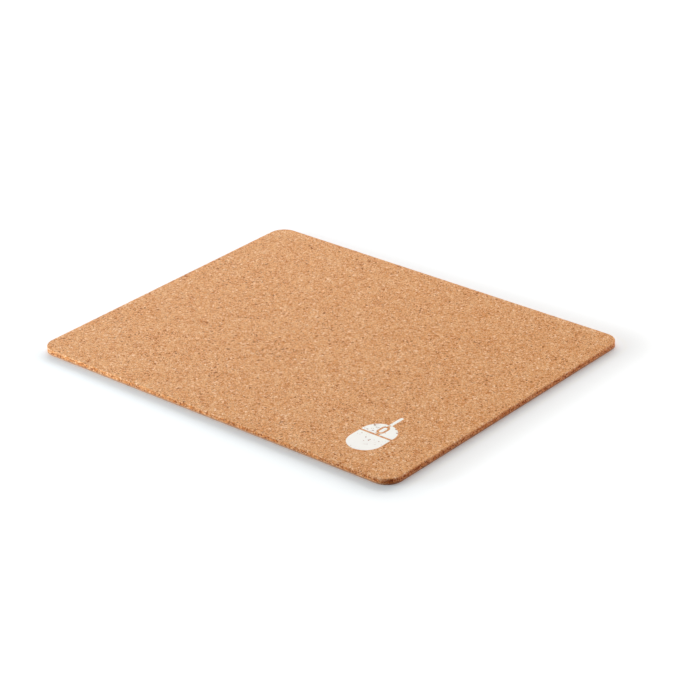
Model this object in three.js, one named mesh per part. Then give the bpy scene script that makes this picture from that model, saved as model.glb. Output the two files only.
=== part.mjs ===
// Cork mouse pad: a sheet of pressed cork granules bonded to a thin rubber grip backing.
// Millimetres, +Z up. The origin is the centre of the face that lies on the desk,
// +X runs along the long side and -Y is the side towards the user.
import * as THREE from "three";
import { toCreasedNormals } from "three/addons/utils/BufferGeometryUtils.js";

// Outline of the pad, seen from above.
const pad = {
  length: 220,
  width: 180,
  cornerRadius: 8.5,
};

// Thickness of each layer of the laminate.
const thickness = {
  backing: 0.65,
  film: 0.1,
  cork: 2.25,
};

// What the cutting die leaves all round. Its blade rolls the top rim over, the squeezed
// layers spring back slightly hollow, and the foot keeps a small round.
const cutEdge = {
  rimRadius: 0.35,
  footRadius: 0.12,
  hollowDepth: 0.1,
};

// Facets on each curved stretch.
const steps = {
  corner: 16,
  rim: 5,
  foot: 3,
  hollow: 8,
};

// The finest features that are still drawn: the space between a ring of facets and a face
// of its layer, and the radius of a corner that an inset has used up.
const finest = {
  ringGap: 0.02,
  cornerRadius: 0.02,
};

const quarterTurn = Math.PI / 2;
const creaseAngle = Math.PI / 6;

// Heights of the faces of the layers, from the desk up.
const level = {
  desk: 0,
  filmFoot: thickness.backing,
  corkFoot: thickness.backing + thickness.film,
  top: thickness.backing + thickness.film + thickness.cork,
};

// A round is limited by the layer that carries it.
const rimRadius = Math.min(cutEdge.rimRadius, thickness.cork);
const footRadius = Math.min(cutEdge.footRadius, thickness.backing);
const hollowFoot = level.desk + footRadius;
const hollowTop = level.top - rimRadius;

// How far a round draws the wall in at a distance beyond the height where it begins.
function roundInset(radius, beyond) {
  return beyond > 0 ? radius - Math.sqrt(Math.max(radius ** 2 - beyond ** 2, 0)) : 0;
}

// How far the cut wall stands in from the outline at a height.
function wallInset(z) {
  const climbShare = THREE.MathUtils.clamp((z - hollowFoot) / (hollowTop - hollowFoot), 0, 1);
  const hollow = cutEdge.hollowDepth * Math.sin(Math.PI * climbShare);
  return hollow + roundInset(footRadius, hollowFoot - z) + roundInset(rimRadius, z - hollowTop);
}

// The heights of the rings of facets on the whole wall, from the desk up.
function wallHeights() {
  const heights = [];
  for (let i = 0; i < steps.foot; i++) {
    heights.push(hollowFoot - footRadius * Math.cos((i / steps.foot) * quarterTurn));
  }
  for (let i = 0; i < steps.hollow; i++) {
    heights.push(THREE.MathUtils.lerp(hollowFoot, hollowTop, i / steps.hollow));
  }
  for (let i = 0; i <= steps.rim; i++) {
    heights.push(hollowTop + rimRadius * Math.sin((i / steps.rim) * quarterTurn));
  }
  return heights;
}

// The pad's outline drawn in by an inset, anticlockwise from above.
function outline(inset) {
  const radius = Math.max(pad.cornerRadius - inset, finest.cornerRadius);
  const centreX = pad.length / 2 - inset - radius;
  const centreY = pad.width / 2 - inset - radius;
  const centres = [
    [centreX, centreY],
    [-centreX, centreY],
    [-centreX, -centreY],
    [centreX, -centreY],
  ];
  return centres.flatMap(([x, y], quarter) => {
    const start = quarter * quarterTurn;
    const corner = new THREE.ArcCurve(x, y, radius, start, start + quarterTurn, false);
    return corner.getPoints(steps.corner);
  });
}

// The closed body of one layer, lofted through rings from its foot to its top. Its wall is
// its own stretch of the cut edge, so neighbouring layers lie face to face and flush.
function layerGeometry(foot, top) {
  const clearOfFaces = (z) => z > foot + finest.ringGap && z < top - finest.ringGap;
  const heights = [foot, ...wallHeights().filter(clearOfFaces), top];
  const rings = heights.map((z) => outline(wallInset(z)));
  const ringSize = rings[0].length;
  const topRing = (rings.length - 1) * ringSize;

  const positions = rings.flatMap((ring, i) => ring.flatMap(({ x, y }) => [x, y, heights[i]]));
  const faces = [];
  for (let ring = 0; ring < topRing; ring += ringSize) {
    for (let i = 0; i < ringSize; i++) {
      const here = ring + i;
      const next = ring + ((i + 1) % ringSize);
      faces.push(here, next, next + ringSize, here, next + ringSize, here + ringSize);
    }
  }
  for (const [a, b, c] of THREE.ShapeUtils.triangulateShape(rings[0], [])) {
    faces.push(a, c, b);
    faces.push(topRing + a, topRing + b, topRing + c);
  }

  const geometry = new THREE.BufferGeometry();
  geometry.setAttribute("position", new THREE.Float32BufferAttribute(positions, 3));
  geometry.setIndex(faces);
  return toCreasedNormals(geometry, creaseAngle);
}

function sheet(name, foot, top, finish) {
  const mesh = new THREE.Mesh(layerGeometry(foot, top), new THREE.MeshStandardMaterial(finish));
  mesh.name = name;
  return mesh;
}

// Rubber blended with crumbs of cork, which keeps the pad from sliding on the desk.
function gripBacking() {
  const rubber = { color: 0xaf7e59, roughness: 0.8, metalness: 0 };
  return sheet("grip_backing", level.desk, level.filmFoot, rubber);
}

// The honey-coloured adhesive that bonds the cork to the rubber.
function bondFilm() {
  const adhesive = { color: 0xa8703c, roughness: 0.5, metalness: 0 };
  return sheet("bond_film", level.filmFoot, level.corkFoot, adhesive);
}

// Pressed cork granules, sanded flat on top for the mouse to glide on.
function corkSheet() {
  const cork = { color: 0xd7a174, roughness: 0.9, metalness: 0 };
  return sheet("cork_sheet", level.corkFoot, level.top, cork);
}

const mousePad = new THREE.Group();
mousePad.name = "mouse_pad";
mousePad.add(gripBacking(), bondFilm(), corkSheet());

export default mousePad;
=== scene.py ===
import math

import bpy
from mathutils import Matrix, Vector


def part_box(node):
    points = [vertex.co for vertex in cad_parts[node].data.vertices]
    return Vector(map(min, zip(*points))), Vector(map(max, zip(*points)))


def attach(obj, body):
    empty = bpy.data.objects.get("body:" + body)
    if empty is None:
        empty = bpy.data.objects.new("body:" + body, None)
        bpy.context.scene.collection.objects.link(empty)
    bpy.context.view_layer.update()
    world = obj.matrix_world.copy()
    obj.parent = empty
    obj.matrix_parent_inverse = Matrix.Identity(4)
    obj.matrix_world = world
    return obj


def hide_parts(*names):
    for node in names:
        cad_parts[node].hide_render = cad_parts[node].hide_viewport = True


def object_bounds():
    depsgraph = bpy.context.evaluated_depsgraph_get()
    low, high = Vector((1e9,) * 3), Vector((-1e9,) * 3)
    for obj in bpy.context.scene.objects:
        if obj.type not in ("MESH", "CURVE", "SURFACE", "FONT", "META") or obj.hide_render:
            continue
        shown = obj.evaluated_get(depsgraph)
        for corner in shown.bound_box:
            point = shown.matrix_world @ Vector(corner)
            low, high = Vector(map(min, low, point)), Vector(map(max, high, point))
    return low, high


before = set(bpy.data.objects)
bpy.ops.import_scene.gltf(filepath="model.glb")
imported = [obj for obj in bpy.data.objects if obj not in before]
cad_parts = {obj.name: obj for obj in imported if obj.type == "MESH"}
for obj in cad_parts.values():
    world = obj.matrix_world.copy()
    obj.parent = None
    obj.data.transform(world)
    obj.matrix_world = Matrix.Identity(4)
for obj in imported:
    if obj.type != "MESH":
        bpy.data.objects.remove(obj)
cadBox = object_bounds()
mm = 0.001


# One output of a node. Arithmetic on it adds Math or Vector Math nodes to its graph.
class Wire:
    def __init__(self, graph, socket):
        self.graph = graph
        self.socket = socket

    def __add__(self, other):
        return self.graph.maths("ADD", self, other)

    def __radd__(self, other):
        return self.graph.maths("ADD", other, self)

    def __sub__(self, other):
        return self.graph.maths("SUBTRACT", self, other)

    def __rsub__(self, other):
        return self.graph.maths("SUBTRACT", other, self)

    def __mul__(self, other):
        return self.graph.maths("MULTIPLY", self, other)

    def __rmul__(self, other):
        return self.graph.maths("MULTIPLY", other, self)

    def __truediv__(self, other):
        return self.graph.maths("DIVIDE", self, other)

    def __rtruediv__(self, other):
        return self.graph.maths("DIVIDE", other, self)

    def __gt__(self, other):
        return self.graph.maths("GREATER_THAN", self, other)

    def __lt__(self, other):
        return self.graph.maths("LESS_THAN", self, other)


def isVector(term):
    if isinstance(term, Wire):
        return term.socket.type in {"VECTOR", "RGBA"}
    return isinstance(term, (tuple, Vector))


# A node that was added to a graph, whose outputs are read by name.
class Added:
    def __init__(self, graph, node):
        self.graph = graph
        self.node = node

    def __getitem__(self, name):
        return Wire(self.graph, openSocket(self.node.outputs, name))


def openSocket(sockets, name):
    if isinstance(name, int):
        return sockets[name]
    return next(socket for socket in sockets if socket.name == name and socket.enabled)


# A node tree that is being built, for a material or for Geometry Nodes.
class Graph:
    def __init__(self, tree):
        self.tree = tree

    # Adds a node: first its settings, then the values or links of its sockets.
    def add(self, kind, settings=None, sockets=None):
        node = self.tree.nodes.new(kind)
        for name, value in (settings or {}).items():
            if name == "stops":
                fillRamp(node.color_ramp, value)
            else:
                setattr(node, name, value)
        for name, value in (sockets or {}).items():
            self.feed(openSocket(node.inputs, name), value)
        return Added(self, node)

    def feed(self, socket, value):
        if isinstance(value, Wire):
            self.tree.links.new(value.socket, socket)
        elif socket.type == "VECTOR" and not isVector(value):
            socket.default_value = (value, value, value)
        elif socket.type == "RGBA":
            socket.default_value = (*value, 1)
        else:
            socket.default_value = value

    # The result of a Math node, or of a Vector Math node where a term is a vector.
    def maths(self, operation, *terms):
        vectors = [term for term in terms if isVector(term)]
        settings = {"operation": operation}
        sockets = dict(enumerate(terms))
        if not vectors:
            return self.add("ShaderNodeMath", settings, sockets)["Value"]
        if operation == "MULTIPLY" and len(vectors) == 1:
            settings = {"operation": "SCALE"}
            sockets = {0: vectors[0], "Scale": next(term for term in terms if not isVector(term))}
        made = self.add("ShaderNodeVectorMath", settings, sockets)
        return Wire(self, next(socket for socket in made.node.outputs if socket.enabled))

    def vector(self, x, y, z):
        return self.add("ShaderNodeCombineXYZ", {}, {"X": x, "Y": y, "Z": z})["Vector"]

    def parts(self, vector):
        split = self.add("ShaderNodeSeparateXYZ", {}, {"Vector": vector})
        return split["X"], split["Y"], split["Z"]

    # Runs from 0 to 1 as the value goes from low to high, and stays there beyond.
    def climb(self, value, low, high, kind="LINEAR"):
        sockets = {"Value": value, "From Min": low, "From Max": high}
        return self.add("ShaderNodeMapRange", {"interpolation_type": kind}, sockets)["Result"]

    def ease(self, value, low, high):
        return self.climb(value, low, high, "SMOOTHSTEP")

    def blend(self, share, first, second):
        wires = [term for term in (first, second) if isinstance(term, Wire)]
        if any(wire.socket.type == "VECTOR" for wire in wires):
            kind = "VECTOR"
        else:
            kind = "RGBA" if isVector(first) or isVector(second) else "FLOAT"
        sockets = {"Factor": share, "A": first, "B": second}
        return self.add("ShaderNodeMix", {"data_type": kind}, sockets)["Result"]


def fillRamp(ramp, stops):
    for place, _ in stops[len(ramp.elements):]:
        ramp.elements.new(place)
    for element, (place, colour) in zip(ramp.elements, stops):
        element.position = place
        element.color = (*colour, 1)


# Grows a piece with Geometry Nodes on an object of its own, and keeps the result as a plain
# mesh. The shape is a function that adds the nodes, and the sizes are the tree's named inputs.
def growPiece(name, shape, sizes, material):
    tree = bpy.data.node_groups.new(name, "GeometryNodeTree")
    tree.is_modifier = True
    tree.interface.new_socket("Geometry", in_out="OUTPUT", socket_type="NodeSocketGeometry")
    kinds = {
        float: "NodeSocketFloat",
        int: "NodeSocketInt",
        bpy.types.Material: "NodeSocketMaterial",
    }
    values = {**sizes, "Material": material}
    inputs = {
        label: tree.interface.new_socket(label, in_out="INPUT", socket_type=kinds[type(value)])
        for label, value in values.items()
    }
    graph = Graph(tree)
    given = graph.add("NodeGroupInput")
    grown = shape(graph, {label: given[label] for label in sizes})
    whole = graph.add("GeometryNodeRealizeInstances", {}, {"Geometry": grown})["Geometry"]
    sockets = {"Geometry": whole, "Material": given["Material"]}
    dressed = graph.add("GeometryNodeSetMaterial", {}, sockets)["Geometry"]
    graph.add("NodeGroupOutput", {}, {"Geometry": dressed})

    piece = bpy.data.objects.new(name, bpy.data.meshes.new(name))
    bpy.context.scene.collection.objects.link(piece)
    modifier = piece.modifiers.new(name, "NODES")
    modifier.node_group = tree
    for label, value in values.items():
        modifier[inputs[label].identifier] = value
    bpy.context.view_layer.update()
    depsgraph = bpy.context.evaluated_depsgraph_get()
    mesh = bpy.data.meshes.new_from_object(piece.evaluated_get(depsgraph), depsgraph=depsgraph)
    mesh.materials.pop(index=0)  # the empty slot that a grid brings along
    piece.modifiers.remove(modifier)
    piece.data = mesh
    mesh.name = name
    return piece


# The camera of the photograph, fitted to the straight edges of the pad.
camera = {
    "focalLength": 132.0,
    "azimuth": 40.285,
    "elevation": 26.748,
    "roll": -1.1855,
    "distance": 1250.9 * mm,
    "target": Vector((9.27, 3.73, 0)) * mm,
}


def makeCamera():
    azimuth = math.radians(camera["azimuth"])
    elevation = math.radians(camera["elevation"])
    roll = math.radians(camera["roll"])
    back = Vector((
        math.sin(azimuth) * math.cos(elevation),
        -math.cos(azimuth) * math.cos(elevation),
        math.sin(elevation),
    ))
    levelRight = (-back).cross(Vector((0, 0, 1))).normalized()
    levelUp = levelRight.cross(-back)
    right = levelRight * math.cos(roll) + levelUp * math.sin(roll)
    up = levelUp * math.cos(roll) - levelRight * math.sin(roll)

    lens = bpy.data.cameras.new("camera")
    lens.lens = camera["focalLength"]
    seat = bpy.data.objects.new("camera", lens)
    bpy.context.scene.collection.objects.link(seat)
    turn = Matrix((right, up, back)).transposed().to_4x4()
    seat.matrix_world = Matrix.Translation(camera["target"] + back * camera["distance"]) @ turn
    bpy.context.scene.camera = seat


makeCamera()
print("camera set")

# Sizes that the pieces share. The outline and the levels come from the frame.
filmFoot, filmTop = (corner.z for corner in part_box("bond_film"))
padSize = cadBox[1] - cadBox[0]
pad = {
    "cornerRadius": 8.5 * mm,
    "rimRadius": 0.35 * mm,
    "footRadius": 0.12 * mm,
    "hollowDepth": 0.1 * mm,
    "roundShare": 0.5,  # of the rings of a wall, those on its round
    "weldReach": 0.001 * mm,
    "mapMargin": 0.004,  # of the baked picture, round each patch
}


# The sizes of a sheet that is gridded on one face and closed with a plain cap on the other.
def sheetSizes(faceHeight, capHeight, roundRadius, gridPitch, wallRings):
    return {
        "Length": padSize.x,
        "Width": padSize.y,
        "Corner Radius": pad["cornerRadius"],
        "Round Radius": roundRadius,
        "Face Height": faceHeight,
        "Cap Height": capHeight,
        "Hollow Foot": pad["footRadius"],
        "Hollow Top": padSize.z - pad["rimRadius"],
        "Hollow Depth": pad["hollowDepth"],
        "Grid Pitch": gridPitch,
        "Wall Rings": wallRings,
    }


# The gridded face in the pad's rounded outline.
def griddedFace(graph, size, cornerCentre):
    spanX = size["Length"] - 2 * size["Round Radius"]
    spanY = size["Width"] - 2 * size["Round Radius"]
    grid = graph.add("GeometryNodeMeshGrid", {}, {
        "Size X": spanX,
        "Size Y": spanY,
        "Vertices X": graph.maths("ROUND", spanX / size["Grid Pitch"]) + 1,
        "Vertices Y": graph.maths("ROUND", spanY / size["Grid Pitch"]) + 1,
    })
    # each square corner of the grid is pressed into a quarter of a disc
    place = graph.add("GeometryNodeInputPosition")["Position"]
    reach = graph.maths("ABSOLUTE", place)
    arcRadius = size["Corner Radius"] - size["Round Radius"]
    beyond = graph.maths("MAXIMUM", reach - cornerCentre, (0, 0, 0))
    u, v, flat = graph.parts(beyond * (1 / arcRadius))
    pressed = graph.vector(
        u * graph.maths("SQRT", 1 - v * v / 2),
        v * graph.maths("SQRT", 1 - u * u / 2),
        flat,
    )
    quarter = graph.maths("MINIMUM", reach, cornerCentre) + pressed * arcRadius
    rounded = graph.maths("SIGN", place) * quarter + graph.vector(0, 0, size["Face Height"])
    sockets = {"Geometry": grid["Mesh"], "Position": rounded}
    return graph.add("GeometryNodeSetPosition", {}, sockets)["Geometry"]


# Where a ring of the wall lies, from 0 at the gridded face to 1 at the cap.
def ringPlace(graph, size, share, cornerCentre):
    turn = graph.climb(share, 0.0, pad["roundShare"]) * (math.pi / 2)
    straight = graph.climb(share, pad["roundShare"], 1.0)
    fall = size["Cap Height"] - size["Face Height"]
    thickness = graph.maths("ABSOLUTE", fall)
    run = size["Round Radius"] * (1 - graph.maths("COSINE", turn))
    run = run + straight * (thickness - size["Round Radius"])
    height = size["Face Height"] + graph.maths("SIGN", fall) * run
    hollowShare = graph.climb(height, size["Hollow Foot"], size["Hollow Top"])
    inset = size["Round Radius"] * (1 - graph.maths("SINE", turn))
    inset = inset + size["Hollow Depth"] * graph.maths("SINE", hollowShare * math.pi)

    place = graph.add("GeometryNodeInputPosition")["Position"] * (1, 1, 0)
    side = graph.maths("SIGN", place)
    reach = graph.maths("ABSOLUTE", place)
    outward = graph.maths("NORMALIZE", graph.maths("MAXIMUM", reach - cornerCentre, (0, 0, 0)))
    radius = size["Corner Radius"] - inset
    ring = side * (graph.maths("MINIMUM", reach, cornerCentre) + outward * radius)
    return ring + graph.vector(0, 0, height)


# Draws new faces out of the open border of a shell, where an edge has only one face, and moves
# their far edges.
def drawBorder(graph, shell, place):
    faces = graph.add("GeometryNodeInputMeshEdgeNeighbors")["Face Count"]
    drawn = graph.add("GeometryNodeExtrudeMesh", {"mode": "EDGES"}, {
        "Mesh": shell,
        "Selection": faces < 2,
        "Offset Scale": 0.0,
    })
    moved = graph.add("GeometryNodeSetPosition", {}, {
        "Geometry": drawn["Mesh"],
        "Selection": drawn["Top"],
        "Position": place,
    })
    return moved["Geometry"], drawn["Top"]


def numberRing(graph, shell, chosen, number):
    settings = {"data_type": "FLOAT", "domain": "POINT"}
    sockets = {"Geometry": shell, "Selection": chosen, "Name": "ring", "Value": number}
    return graph.add("GeometryNodeStoreNamedAttribute", settings, sockets)["Geometry"]


# A closed sheet: the gridded face, the rings of the cut wall and the cap. The attribute "ring"
# runs from 0 on the face to 1 at the edge of the cap, and is 2 in the middle of the cap.
def closedSheet(graph, size):
    cornerX = size["Length"] / 2 - size["Corner Radius"]
    cornerY = size["Width"] / 2 - size["Corner Radius"]
    cornerCentre = graph.vector(cornerX, cornerY, 0)
    shell = griddedFace(graph, size, cornerCentre)

    first = graph.add("GeometryNodeRepeatInput")
    last = graph.add("GeometryNodeRepeatOutput")
    first.node.pair_with_output(last.node)
    graph.feed(first.node.inputs["Iterations"], size["Wall Rings"])
    graph.feed(first.node.inputs["Geometry"], shell)
    share = (first["Iteration"] + 1) / size["Wall Rings"]
    place = ringPlace(graph, size, share, cornerCentre)
    ring, chosen = drawBorder(graph, first["Geometry"], place)
    graph.feed(last.node.inputs["Geometry"], numberRing(graph, ring, chosen, share))

    capCentre = graph.vector(0, 0, size["Cap Height"])
    capped, chosen = drawBorder(graph, last["Geometry"], capCentre)
    capped = numberRing(graph, capped, chosen, 2.0)
    sockets = {"Geometry": capped, "Distance": pad["weldReach"]}
    return graph.add("GeometryNodeMergeByDistance", {}, sockets)["Geometry"]


def readRing(graph):
    settings = {"data_type": "FLOAT"}
    return graph.add("GeometryNodeInputNamedAttribute", settings, {"Name": "ring"})["Attribute"]


# The mean of a value over the corners of each face.
def onFaces(graph, value):
    kinds = {"VALUE": "FLOAT", "VECTOR": "FLOAT_VECTOR"}
    settings = {"data_type": kinds[value.socket.type], "domain": "FACE"}
    return graph.add("GeometryNodeFieldOnDomain", settings, {"Value": value})["Value"]


# Lays the sheet out flat for baked pictures, in the map OFBake: the face over most of the square,
# and the wall above it in four strips, one for each side of the pad.
def layOutMap(graph, sheet, size):
    margin = pad["mapMargin"]
    scale = (1 - 2 * margin) / size["Length"]
    place = graph.add("GeometryNodeInputPosition")["Position"]
    x, y, _ = graph.parts(place)
    face = graph.vector(x * scale + 0.5, (y + size["Width"] / 2) * scale + margin, 0)

    middleX, middleY, _ = graph.parts(onFaces(graph, place))
    nearX = size["Length"] / 2 - graph.maths("ABSOLUTE", middleX)
    nearY = size["Width"] / 2 - graph.maths("ABSOLUTE", middleY)
    alongY = nearX < nearY
    farSide = graph.blend(alongY, middleY, middleX) > 0
    stripFoot = size["Width"] * scale + 2 * margin
    stripRoom = (1 - stripFoot) / 4
    strip = stripFoot + stripRoom * (2 * alongY + farSide)
    along = graph.blend(alongY, x + size["Length"] / 2, y + size["Width"] / 2)
    wall = graph.vector(along * scale + margin, strip + readRing(graph) * (stripRoom - margin), 0)

    # the cap, which nobody sees, is drawn small in the room beside the two short strips
    spareWidth = 1 - 2 * margin - size["Width"] * scale
    spare = graph.vector(
        1 - spareWidth / 2 + x / size["Length"] * (spareWidth - 2 * margin),
        stripFoot + 3 * stripRoom + y / size["Width"] * (2 * stripRoom - 2 * margin),
        0,
    )
    ring = onFaces(graph, readRing(graph))
    place = graph.blend(ring > 0, face, graph.blend(ring > 1, wall, spare))
    settings = {"data_type": "FLOAT2", "domain": "CORNER"}
    sockets = {"Geometry": sheet, "Name": "OFBake", "Value": place}
    mapped = graph.add("GeometryNodeStoreNamedAttribute", settings, sockets)["Geometry"]
    sockets = {"Geometry": mapped, "Name": "ring"}
    return graph.add("GeometryNodeRemoveAttribute", {}, sockets)["Geometry"]


# Smooth shading, apart from the edges that turn more sharply than an angle.
def shadeSmooth(graph, sheet, sharpAngle):
    shading = "GeometryNodeSetShadeSmooth"
    smooth = graph.add(shading, {"domain": "FACE"}, {"Geometry": sheet})["Geometry"]
    angle = graph.add("GeometryNodeInputMeshEdgeAngle")["Unsigned Angle"]
    sockets = {"Geometry": smooth, "Selection": angle > sharpAngle, "Shade Smooth": False}
    return graph.add(shading, {"domain": "EDGE"}, sockets)["Geometry"]


# A material with its graph and with the place on the object in millimetres.
def newMaterial(name):
    material = bpy.data.materials.new(name)
    material.use_nodes = True
    material.node_tree.nodes.clear()
    graph = Graph(material.node_tree)
    place = graph.add("ShaderNodeTexCoord")["Object"] * (1 / mm)
    return material, graph, place


def finishMaterial(graph, colour, roughness, height, depth, **fixed):
    bump = graph.add("ShaderNodeBump", {}, {"Height": height, "Distance": depth})["Normal"]
    sockets = {"Base Color": colour, "Roughness": roughness, "Normal": bump, **fixed}
    shader = graph.add("ShaderNodeBsdfPrincipled", {}, sockets)["BSDF"]
    graph.add("ShaderNodeOutputMaterial", {}, {"Surface": shader})


def noise(graph, place, scale, output="Fac"):
    return graph.add("ShaderNodeTexNoise", {}, {"Vector": place, "Scale": scale})[output]


# Moves each place a little way at random, which makes straight seams crooked.
def wandered(graph, place, scale, reach):
    return place + (noise(graph, place, scale, "Color") - (0.5, 0.5, 0.5)) * reach


# Cells of pressed granules: random numbers for each one, and the distance to its seam in cells.
def granules(graph, place, cellsPerMillimetre):
    sockets = {"Vector": place, "Scale": cellsPerMillimetre}
    cells = graph.add("ShaderNodeTexVoronoi", {"feature": "F1"}, sockets)
    edges = graph.add("ShaderNodeTexVoronoi", {"feature": "DISTANCE_TO_EDGE"}, sockets)
    return graph.parts(cells["Color"]), edges["Distance"]


# Pressed cork. Its granules are in cells per millimetre and its seams in shares of a cell.
cork = {
    "coarseCells": 1.05,
    "fineCells": 2.2,
    "coarseShare": 0.35,
    "wander": 0.45,  # in millimetres, as for every granule and crumb
    "wanderScale": 0.9,
    "tones": [
        (0.00, (0.31, 0.085, 0.012)),
        (0.03, (0.39, 0.11, 0.016)),
        (0.05, (0.55, 0.165, 0.03)),
        (0.20, (0.71, 0.285, 0.082)),
        (0.50, (0.83, 0.40, 0.152)),
        (0.80, (0.905, 0.51, 0.245)),
        (1.00, (0.96, 0.64, 0.39)),
    ],
    "seamTone": (0.38, 0.12, 0.022),
    "seamWidth": 0.14,
    "seamStrength": 0.6,
    "drift": 0.2,
    "driftScale": 0.09,
    # painted shade: the cut wall is coloured darker and redder than the face
    "wallTone": (0.85, 0.69, 0.505),
    "wallFrom": 1.0,  # from the top of the pad down, in millimetres
    "wallTo": 0.25,
    "wallMiddle": 0.57,
    "wallContrast": 1.6,
    "roughness": 0.62,
    "specularLevel": 0.2,
    "bumpDepth": 0.05 * mm,
    "bumpSeam": 0.25,
    "bumpNoise": 0.5,
    "bumpNoiseScale": 3.0,
    "grainRelief": 0.035 * mm,
    "reliefSeam": 0.3,
    "pitDepth": 0.12 * mm,
    "pitShare": 0.05,
    "freeFoot": 0.4 * mm,
    "gridPitch": 0.72 * mm,
    "wallRings": 10,
    "sharpAngle": 50,
}


# The grain of the cork at a place in millimetres: the tone of its granule, from bark to pale
# wood, whether the granule is a coarse one, and the distance to its seam.
def corkGrain(graph, place):
    place = wandered(graph, place, cork["wanderScale"], cork["wander"])
    coarse, coarseSeam = granules(graph, place, cork["coarseCells"])
    fine, fineSeam = granules(graph, place, cork["fineCells"])
    isCoarse = coarse[0] < cork["coarseShare"]
    tone = graph.blend(isCoarse, fine[1], coarse[1])
    return tone, isCoarse, graph.blend(isCoarse, fineSeam, coarseSeam)


# White ink, printed on the cork near one corner: a corded mouse, its sizes in millimetres.
ink = {
    "fromRight": 33.0,
    "fromFront": 28.0,
    "width": 18.0,
    "length": 27.0,
    "gap": 1.2,
    "buttonShare": 0.4,
    "wheelWidth": 2.0,
    "wheelLength": 5.0,
    "cordWidth": 1.8,
    "cordLength": 9.0,
    "tone": (1.0, 0.95, 0.875),
    "edge": 0.08,
    "pinholeShare": 0.025,
    "thickness": 1.1,  # in depths of the cork's bump
    "grainShowing": 0.25,
}


# How far a place lies outside a rectangle with rounded corners; inside it is negative.
def outsideBox(graph, x, y, width, length, radius):
    beyondX = graph.maths("ABSOLUTE", x) - (width / 2 - radius)
    beyondY = graph.maths("ABSOLUTE", y) - (length / 2 - radius)
    outer = graph.maths("MAXIMUM", graph.vector(beyondX, beyondY, 0), (0, 0, 0))
    inner = graph.maths("MINIMUM", graph.maths("MAXIMUM", beyondX, beyondY), 0)
    return graph.maths("LENGTH", outer) + inner - radius


# The same for a long shape whose two ends are half circles.
def outsideSlot(graph, x, y, width, length):
    return outsideBox(graph, x, y, width, length, width / 2)


# The share of ink at a place on the working face.
def printedMouse(graph, place):
    x, y, _ = graph.parts(place)
    x = x - (padSize.x / mm / 2 - ink["fromRight"])
    y = y - (ink["fromFront"] - padSize.y / mm / 2)
    body = outsideSlot(graph, x, y, ink["width"], ink["length"])
    top = ink["length"] / 2
    buttons = ink["length"] * ink["buttonShare"]
    across = graph.maths("ABSOLUTE", y - (top - buttons)) - ink["gap"] / 2
    beside = graph.maths("ABSOLUTE", x) - ink["gap"] / 2
    between = graph.maths("MAXIMUM", beside, top - buttons - y)
    wheelY = y - (top - buttons / 2)
    wheelSize = (ink["wheelWidth"], ink["wheelLength"])
    wheel = outsideSlot(graph, x, wheelY, *wheelSize)
    well = outsideSlot(graph, x, wheelY, *(size + 2 * ink["gap"] for size in wheelSize))
    cleared = graph.maths("MINIMUM", graph.maths("MINIMUM", across, between), well)
    mouse = graph.maths("MINIMUM", graph.maths("MAXIMUM", body, 0 - cleared), wheel)

    # the cord's lower half lies under the mouse
    cordFoot = y - top
    cord = outsideSlot(graph, x, cordFoot, ink["cordWidth"], 2 * ink["cordLength"])
    cord = graph.maths("MAXIMUM", cord, 0 - cordFoot)
    return 1 - graph.ease(graph.maths("MINIMUM", mouse, cord), 0 - ink["edge"], ink["edge"])


def corkMaterial():
    material, graph, place = newMaterial("pressedCork")
    _, _, z = graph.parts(place)
    top = padSize.z / mm
    wall = 1 - graph.ease(z, top - cork["wallFrom"], top - cork["wallTo"])
    tone, _, seam = corkGrain(graph, place)
    tone = tone + wall * (cork["wallContrast"] - 1) * (tone - cork["wallMiddle"])
    tone = tone + (noise(graph, place, cork["driftScale"]) - 0.5) * cork["drift"]
    colour = graph.add("ShaderNodeValToRGB", {"stops": cork["tones"]}, {"Fac": tone})["Color"]
    # the seams are painted darker: dark binder between the granules, and partly painted shade in
    # their crevices
    seamShare = (1 - graph.ease(seam, 0.0, cork["seamWidth"])) * cork["seamStrength"]
    colour = graph.blend(seamShare, colour, cork["seamTone"])
    # painted shade: the cut wall is coloured darker and redder than the face, as the walls look
    # in shade
    colour = graph.blend(wall, colour, colour * cork["wallTone"])

    printed = printedMouse(graph, place) * (1 - wall) * (tone > ink["pinholeShare"])
    colour = graph.blend(printed, colour, ink["tone"])
    height = graph.ease(seam, 0.0, cork["bumpSeam"])
    height = height + noise(graph, place, cork["bumpNoiseScale"]) * cork["bumpNoise"]
    height = graph.blend(printed, height, ink["thickness"] + height * ink["grainShowing"])
    gloss = {"Specular IOR Level": cork["specularLevel"]}
    finishMaterial(graph, colour, cork["roughness"], height, cork["bumpDepth"], **gloss)
    return material


# The closed sheet, whose coarse granules stand a little proud of the fine ones between them.
# Granules of bark have crumbled out and leave pits.
def corkShape(graph, size):
    sheet = layOutMap(graph, closedSheet(graph, size), size)
    place = graph.add("GeometryNodeInputPosition")["Position"]
    _, _, z = graph.parts(place)
    tone, isCoarse, seam = corkGrain(graph, place * (1 / mm))
    proud = isCoarse * graph.ease(seam, 0.0, size["Relief Seam"])
    depth = size["Grain Relief"] * (1 - proud) + size["Pit Depth"] * (tone < size["Pit Share"])
    free = graph.ease(z, size["Cap Height"], size["Cap Height"] + size["Free Foot"])
    normal = graph.add("GeometryNodeInputNormal")["Normal"]
    sockets = {"Geometry": sheet, "Offset": normal * (0 - depth * free)}
    rough = graph.add("GeometryNodeSetPosition", {}, sockets)["Geometry"]
    return shadeSmooth(graph, rough, math.radians(cork["sharpAngle"]))


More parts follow.
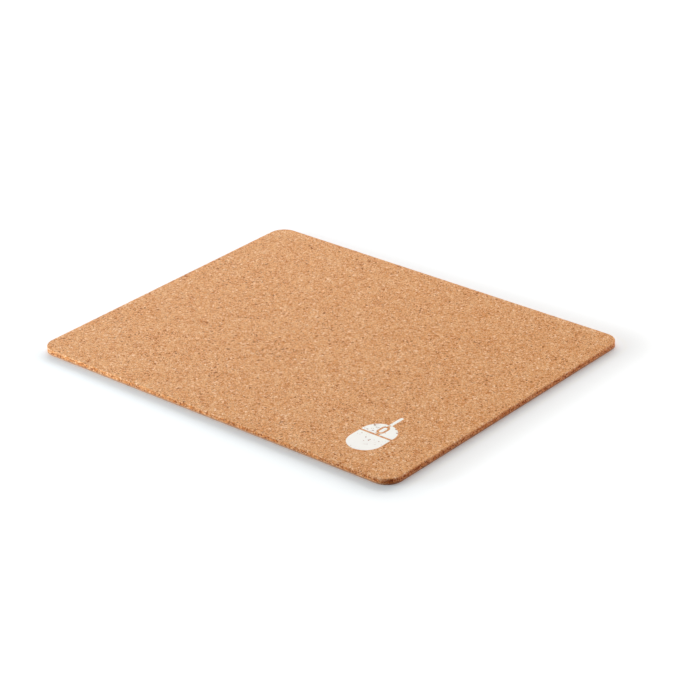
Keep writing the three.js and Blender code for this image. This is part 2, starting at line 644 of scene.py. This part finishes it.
def makeCork():
    sizes = sheetSizes(padSize.z, filmTop, pad["rimRadius"], cork["gridPitch"], cork["wallRings"])
    sizes["Grain Relief"] = cork["grainRelief"]
    sizes["Relief Seam"] = cork["reliefSeam"]
    sizes["Free Foot"] = cork["freeFoot"]
    sizes["Pit Depth"] = cork["pitDepth"]
    sizes["Pit Share"] = cork["pitShare"]
    sheet = growPiece("corkSurface", corkShape, sizes, corkMaterial())
    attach(sheet, "root")
    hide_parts("cork_sheet")
    print("cork", len(sheet.data.polygons), "faces")


makeCork()

# The grip backing, of rubber that is blended with crumbs of cork. Its underside is pressed into
# a waffle of small cells, and a plain border is left round them.
backing = {
    "tone": (0.40, 0.19, 0.087),
    "crumbTone": (0.54, 0.285, 0.145),
    "barkTone": (0.20, 0.085, 0.035),
    # painted shade inside the cells of the underside
    "cellTone": (0.80, 0.78, 0.76),
    "crumbCells": 1.9,
    "crumbShare": 0.34,
    "barkShare": 0.05,
    "crumbSeam": (0.02, 0.12),
    "wander": 0.4,
    "wanderScale": 1.2,
    "roughness": 0.8,
    "bumpDepth": 0.02 * mm,
    "bumpSeam": 0.2,
    "bumpNoise": 1.5,
    "bumpNoiseScale": 5.0,
    "cellPitch": 2.0 * mm,
    "cellShare": 0.72,
    "cellDepth": 0.3 * mm,
    "border": 3.0 * mm,
    "wallRings": 6,
    "sharpAngle": 25,
}


def backingMaterial():
    material, graph, place = newMaterial("corkRubber")
    crooked = wandered(graph, place, backing["wanderScale"], backing["wander"])
    cells, seam = granules(graph, crooked, backing["crumbCells"])
    whole = graph.ease(seam, *backing["crumbSeam"])
    crumb = (cells[1] > 1 - backing["crumbShare"]) * whole
    colour = graph.blend(crumb, backing["tone"], backing["crumbTone"])
    colour = graph.blend((cells[1] < backing["barkShare"]) * whole, colour, backing["barkTone"])

    # the cells of the underside are painted a little darker inside, as painted shade in their
    # recesses
    x, y, z = graph.parts(graph.maths("ABSOLUTE", place) * mm)
    beyond = padSize / 2 - Vector((backing["border"],) * 3)
    sunk = (x < beyond.x) * (y < beyond.y) * graph.ease(z, 0.0, backing["cellDepth"])
    colour = graph.blend(sunk, colour, colour * backing["cellTone"])
    height = graph.ease(seam, 0.0, backing["bumpSeam"])
    height = height + noise(graph, place, backing["bumpNoiseScale"]) * backing["bumpNoise"]
    finishMaterial(graph, colour, backing["roughness"], height, backing["bumpDepth"])
    return material


def backingShape(graph, size):
    sheet = closedSheet(graph, size)
    middle = onFaces(graph, graph.add("GeometryNodeInputPosition")["Position"])
    x, y, z = graph.parts(graph.maths("ABSOLUTE", middle))
    inside = (x < size["Length"] / 2 - size["Border"]) * (y < size["Width"] / 2 - size["Border"])
    cells = graph.add("GeometryNodeExtrudeMesh", {"mode": "FACES"}, {
        "Mesh": sheet,
        "Selection": inside * (z < size["Cell Depth"]),
        "Offset Scale": 0.0,
        "Individual": True,
    })
    drawnIn = graph.add("GeometryNodeScaleElements", {"domain": "FACE"}, {
        "Geometry": cells["Mesh"],
        "Selection": cells["Top"],
        "Scale": size["Cell Share"],
    })
    pressed = graph.add("GeometryNodeSetPosition", {}, {
        "Geometry": drawnIn["Geometry"],
        "Selection": cells["Top"],
        "Offset": graph.vector(0, 0, size["Cell Depth"]),
    })
    mapped = layOutMap(graph, pressed["Geometry"], size)
    turned = graph.add("GeometryNodeFlipFaces", {}, {"Mesh": mapped})["Mesh"]
    return shadeSmooth(graph, turned, math.radians(backing["sharpAngle"]))


def makeBacking():
    sizes = sheetSizes(
        0.0, filmFoot, pad["footRadius"], backing["cellPitch"], backing["wallRings"]
    )
    sizes["Border"] = backing["border"]
    sizes["Cell Share"] = backing["cellShare"]
    sizes["Cell Depth"] = backing["cellDepth"]
    sheet = growPiece("gripBacking", backingShape, sizes, backingMaterial())
    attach(sheet, "root")
    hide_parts("grip_backing")
    print("backing", len(sheet.data.polygons), "faces")


makeBacking()


# The adhesive film keeps its CAD shape, of which only the cut edge shows.
film = {
    "tone": (0.46, 0.22, 0.085),
    "squeezedTone": (0.31, 0.135, 0.05),
    "patchScale": 0.7,
    "patchEdge": (0.4, 0.6),
    "roughness": 0.45,
    "bumpDepth": 0.01 * mm,
    "bumpScale": 2.0,
}


def makeFilm():
    material, graph, place = newMaterial("adhesive")
    patches = graph.ease(noise(graph, place, film["patchScale"]), *film["patchEdge"])
    colour = graph.blend(patches, film["tone"], film["squeezedTone"])
    height = noise(graph, place, film["bumpScale"])
    finishMaterial(graph, colour, film["roughness"], height, film["bumpDepth"])
    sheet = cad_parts["bond_film"]
    sheet.data.materials.clear()
    sheet.data.materials.append(material)
    print("film dressed")


makeFilm()

# A pale table that reflects a warm light, in a white room that is dark on the side of the near
# corner. The camera sees the table whiter than it is, and more so away from the pad, which paints
# light over the faint outer part of the pad's shadow; close to the pad's edge the seen colour is
# tinted, which colours that shadow: each pair is a distance from the pad's edge and a colour.
# A wide softbox stands low behind the pad and casts its shadow to the front. A lamp on the left
# gives the cork its sheen, and two low ones light the near walls, from the left of the front and
# from the right of the back.
studio = {
    "floorSide": 12.0,
    "floorBounce": (0.71, 0.41, 0.36),
    "floorSeen": [
        (0.0015, (0.985, 1.015, 1.02)),
        (0.005, (1.0, 0.995, 0.975)),
        (0.03, (1.32, 1.31, 1.29)),
    ],
    "roomStrength": 0.59,
    "darkSide": 40.0,  # of the room, in degrees from the front of the pad to its right
    "lamps": {
        "softbox": {
            "place": (-1.66, 4.4, 1.9),
            "size": (5.0, 1.7),
            "power": 213,
            "tone": (1, 1, 1),
            "glints": False,
        },
        "keyLamp": {
            "place": (-0.6, 0.38, 0.4),
            "size": (0.3, 0.3),
            "power": 1.5,
            "tone": (0.9, 1, 1.12),
            "glints": True,
        },
        "fillLamp": {
            "place": (-0.43, -0.5, 0.06),
            "size": (0.4, 0.1),
            "power": 5.2,
            "tone": (0.785, 1, 1.16),
            "glints": True,
        },
        "sideLamp": {
            "place": (0.53, 0.8, 0.06),
            "size": (0.4, 0.1),
            "power": 3.35,
            "tone": (1.065, 1, 1.01),
            "glints": True,
        },
    },
}


def makeFloor():
    mesh = bpy.data.meshes.new("floor")
    half = studio["floorSide"] / 2
    corners = [(-half, -half, 0), (half, -half, 0), (half, half, 0), (-half, half, 0)]
    mesh.from_pydata(corners, [], [(0, 1, 2, 3)])
    floor = bpy.data.objects.new("floor", mesh)
    bpy.context.scene.collection.objects.link(floor)
    material = bpy.data.materials.new("floor")
    material.use_nodes = True
    material.node_tree.nodes.clear()
    graph = Graph(material.node_tree)
    x, y, _ = graph.parts(graph.add("ShaderNodeTexCoord")["Object"])
    distance = outsideBox(graph, x, y, padSize.x, padSize.y, pad["cornerRadius"])
    # the seen colour, whiter away from the pad: painted light over the outer part of the pad's
    # shadow
    stops = studio["floorSeen"]
    seen = stops[0][1]
    for (start, _), (end, tone) in zip(stops, stops[1:]):
        seen = graph.blend(graph.climb(distance, start, end), seen, tone)
    colour = graph.blend(seenDirectly(graph), studio["floorBounce"], seen)
    paper = graph.add("ShaderNodeBsdfDiffuse", {}, {"Color": colour})["BSDF"]
    graph.add("ShaderNodeOutputMaterial", {}, {"Surface": paper})
    mesh.materials.append(material)


# Whether a ray comes from the camera, or from a reflection or a clear material in its view.
def seenDirectly(graph):
    path = graph.add("ShaderNodeLightPath")
    seen = graph.maths("MAXIMUM", path["Is Camera Ray"], path["Is Glossy Ray"])
    return graph.maths("MAXIMUM", seen, path["Is Transmission Ray"])


def makeRoom():
    world = bpy.data.worlds.new("room")
    world.use_nodes = True
    world.node_tree.nodes.clear()
    graph = Graph(world.node_tree)
    side = math.radians(studio["darkSide"])
    direction = graph.add("ShaderNodeTexCoord")["Generated"]
    facing = graph.maths("DOT_PRODUCT", direction, (math.sin(side), -math.cos(side), 0))
    lit = studio["roomStrength"] * (1 - graph.ease(facing, 0.0, 1.0))
    strength = graph.blend(seenDirectly(graph), lit, 1.0)
    sockets = {"Color": (1, 1, 1), "Strength": strength}
    room = graph.add("ShaderNodeBackground", {}, sockets)["Background"]
    graph.add("ShaderNodeOutputWorld", {}, {"Surface": room})
    bpy.context.scene.world = world


def makeLamps():
    for name, setting in studio["lamps"].items():
        lamp = bpy.data.lights.new(name, "AREA")
        lamp.shape = "RECTANGLE"
        lamp.size, lamp.size_y = setting["size"]
        lamp.energy = setting["power"]
        lamp.color = setting["tone"]
        stand = bpy.data.objects.new(name, lamp)
        stand.location = setting["place"]
        stand.rotation_mode = "QUATERNION"
        stand.rotation_quaternion = (-stand.location).to_track_quat("-Z", "Y")
        stand.visible_glossy = setting["glints"]
        bpy.context.scene.collection.objects.link(stand)


makeFloor()
makeRoom()
makeLamps()
bpy.context.scene.view_settings.view_transform = "Standard"
print("studio lit")
